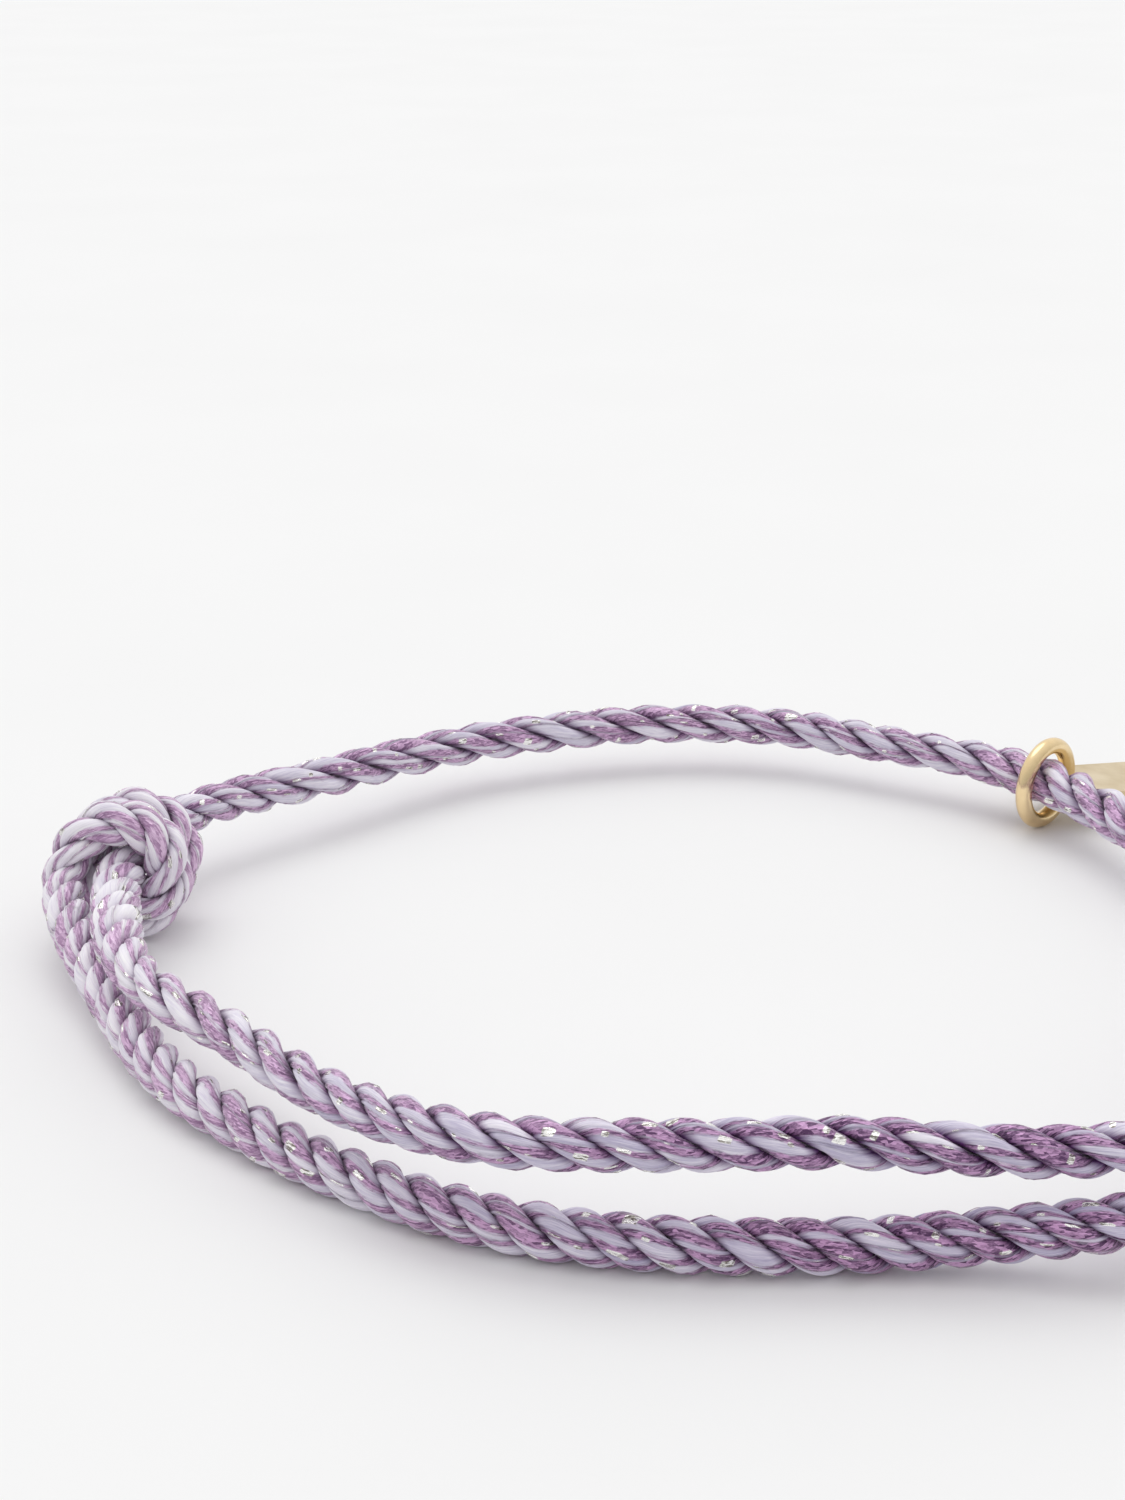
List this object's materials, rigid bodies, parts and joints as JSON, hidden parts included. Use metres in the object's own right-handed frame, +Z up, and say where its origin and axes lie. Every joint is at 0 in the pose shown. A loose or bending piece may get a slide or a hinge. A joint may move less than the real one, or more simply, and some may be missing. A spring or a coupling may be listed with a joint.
{
  "type": "cord bracelet",
  "caption": "Adjustable bracelet of one twisted cord, closed by sliding knots, with a doubled front and a metal ring that carries a plain tag.",
  "frame": {"origin": "middle of the bracelet's bounding box, on the surface that it lies on", "axes": "+Z up; +X along the bracelet's width, from the left knot to the right knot; -Y towards the doubled front"},
  "size_m": [0.0703, 0.0617, 0.0078],
  "materials": {
    "tied_cord": "hard-twisted yarn with metallic thread",
    "soft_cord": "loosely twisted yarn with metallic thread",
    "ring_metal": "polished gold-coloured plating",
    "tag_metal": "satin pale gold plating, bare"
  },
  "bodies": {
    "root": {"lower_run": "tied_cord", "upper_run": "soft_cord", "back_run": "soft_cord", "left_knot": "tied_cord", "right_knot": "soft_cord", "slide_ring": "ring_metal", "tag": "tag_metal"}
  },
  "joints": []
}
